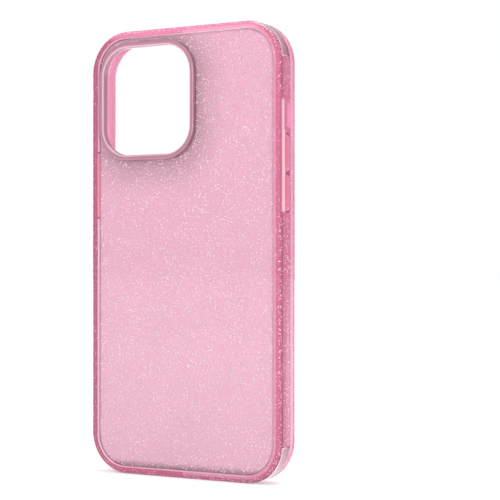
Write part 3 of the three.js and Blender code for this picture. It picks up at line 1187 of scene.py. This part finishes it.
class CASE_OT_glitter(bpy.types.Operator):
    """Scatters the glitter flakes in the back and in the bumper"""

    bl_idname = "case.glitter"
    bl_label = "Glitter flakes"

    def execute(self, context):
        colours, sizes = settings()
        back = back_flakes(sizes.back_flakes, sizes.flake_size)
        back.data.materials.append(flake_finish(colours, "back_flake", 0.3))
        ride(back, SHELL, "glitter_layer")
        wall = bumper_flakes(sizes.bumper_flakes, sizes.flake_size)
        wall.data.materials.append(flake_finish(colours, "bumper_flake", 0.0))
        ride(wall, SHELL, "glitter_bumper")
        return {"FINISHED"}


class CASE_OT_stage(bpy.types.Operator):
    """Makes the floor, the soft studio light and the camera"""

    bl_idname = "case.stage"
    bl_label = "Studio"

    def execute(self, context):
        _, sizes = settings()
        make_floor()
        make_sky()
        make_lamps()
        make_camera(sizes)
        context.scene.view_settings.view_transform = "Standard"
        return {"FINISHED"}


def make_floor():
    mesh = bmesh.new()
    bmesh.ops.create_grid(mesh, x_segments=2, y_segments=2, size=6.0)
    floor = finished("studio_floor", mesh)
    f = Finish("studio_floor")
    paper = f.noise(3.0) * 0.02
    x, y, _ = f.axes()
    away = (x * x + y * y) ** 0.5
    glow = 0.4 + away.ramp(0.1, 0.8) * 0.4
    floor.data.materials.append(
        f.principled(
            Base_Color=f.mix(paper, rgba((0.8, 0.8, 0.8)), rgba((0.7, 0.7, 0.7))),
            Roughness=0.8,
            Emission_Color=f.mix(glow, rgba((0.0, 0.0, 0.0)), rgba((1.0, 1.0, 1.0))),
            Emission_Strength=1.0,
        )
    )


def make_sky():
    """A white studio. Surfaces are lit by a dimmer dome, brightest overhead and in front."""
    world = bpy.data.worlds.new("studio")
    world.use_nodes = True
    bpy.context.scene.world = world
    sky = Nodes(world.node_tree)
    background = world.node_tree.nodes["Background"]
    background.inputs["Color"].default_value = rgba((1.0, 1.0, 1.0))
    rays = sky.node("ShaderNodeLightPath")
    plain = sky.wire(rays, "Is Camera Ray").at_least(sky.wire(rays, "Is Transmission Ray"))
    direction = sky.wire(sky.node("ShaderNodeTexCoord"), "Generated")
    split = sky.node("ShaderNodeSeparateXYZ", None, direction)
    x, y, z = (sky.wire(split, i) for i in range(3))
    glow = 0.3 + (0 - y).at_least(0.0) * 0.42 + z.at_least(0.0) * 0.35
    glow = glow + y.at_least(0.0) * 0.15 + x * 0.2
    glow = glow + (0.25 - abs(z)).at_least(0.0) * 1.2
    sky.feed(background.inputs["Strength"], plain + (1 - plain) * glow)


def area_lamp(name, place, size, watts, aim):
    light = bpy.data.lights.new(name, "AREA")
    light.shape = "RECTANGLE"
    light.size, light.size_y = size
    light.energy = watts
    lamp = bpy.data.objects.new(name, light)
    lamp.location = place
    lamp.rotation_mode = "QUATERNION"
    lamp.rotation_quaternion = (Vector(aim) - Vector(place)).to_track_quat("-Z", "Y")
    lamp.visible_camera = False
    bpy.context.scene.collection.objects.link(lamp)


def make_lamps():
    """A strip behind the case's back to the right, one softbox overhead and one above the back."""
    middle = (0.0, 0.0, MIDDLE.z)
    area_lamp("front_strip", (0.26, -0.8, 0.2), (0.12, 0.6), 2.2, middle)
    area_lamp("overhead_softbox", (0.1, 0.14, 0.85), (0.7, 0.35), 4.6, middle)
    area_lamp("front_softbox", (-0.1, -0.9, 0.75), (0.7, 0.4), 2.0, middle)


CAMERA_SENSOR = 36.0
CAMERA_LENS = 105.2
CAMERA_RISE = math.radians(-0.474)
CAMERA_TURN = math.radians(2.351)
CAMERA_LIFT = math.radians(0.08)


def make_camera(sizes):
    """A level camera, turned a little past the case so that the case stands left of the middle."""
    data = bpy.data.cameras.new("camera")
    data.sensor_width = CAMERA_SENSOR
    data.lens = CAMERA_LENS
    camera = bpy.data.objects.new("camera", data)
    bpy.context.scene.collection.objects.link(camera)
    azimuth, rise, turned = sizes.camera_azimuth, CAMERA_RISE, CAMERA_TURN
    away = Vector(
        (math.sin(azimuth) * math.cos(rise), -math.cos(azimuth) * math.cos(rise), math.sin(rise))
    )
    camera.location = Vector((0, 0, MIDDLE.z)) + away * sizes.camera_distance
    forward = -away
    right = Vector((math.cos(azimuth), math.sin(azimuth), 0.0))
    look = forward * math.cos(turned) + right * math.sin(turned) + Vector((0, 0, math.sin(CAMERA_LIFT)))
    camera.rotation_mode = "QUATERNION"
    camera.rotation_quaternion = look.to_track_quat("-Z", "Y")
    data.clip_start, data.clip_end = 0.01, 20.0
    bpy.context.scene.camera = camera


class CASE_PT_panel(bpy.types.Panel):
    """Lists the steps that build the case"""

    bl_idname = "CASE_PT_panel"
    bl_label = "Phone Case"
    bl_space_type = "VIEW_3D"
    bl_region_type = "UI"
    bl_category = "Phone Case"

    def draw(self, context):
        for operator in STEPS:
            self.layout.operator(operator.bl_idname)
        for group in (context.scene.case_colours, context.scene.case_sizes):
            for name in group.__annotations__:
                self.layout.prop(group, name)


STEPS = (
    CASE_OT_bumper,
    CASE_OT_lip,
    CASE_OT_cushions,
    CASE_OT_back,
    CASE_OT_bezel,
    CASE_OT_keys,
    CASE_OT_glitter,
    CASE_OT_stage,
)
CLASSES = (CaseColours, CaseSizes, *STEPS, CASE_PT_panel)


def register():
    for each in CLASSES:
        bpy.utils.register_class(each)
    bpy.types.Scene.case_colours = bpy.props.PointerProperty(type=CaseColours)
    bpy.types.Scene.case_sizes = bpy.props.PointerProperty(type=CaseSizes)


def unregister():
    del bpy.types.Scene.case_sizes
    del bpy.types.Scene.case_colours
    for each in reversed(CLASSES):
        bpy.utils.unregister_class(each)


def main():
    register()
    for step in STEPS:
        group, name = step.bl_idname.split(".")
        getattr(getattr(bpy.ops, group), name)()


if __name__ == "__main__":
    main()
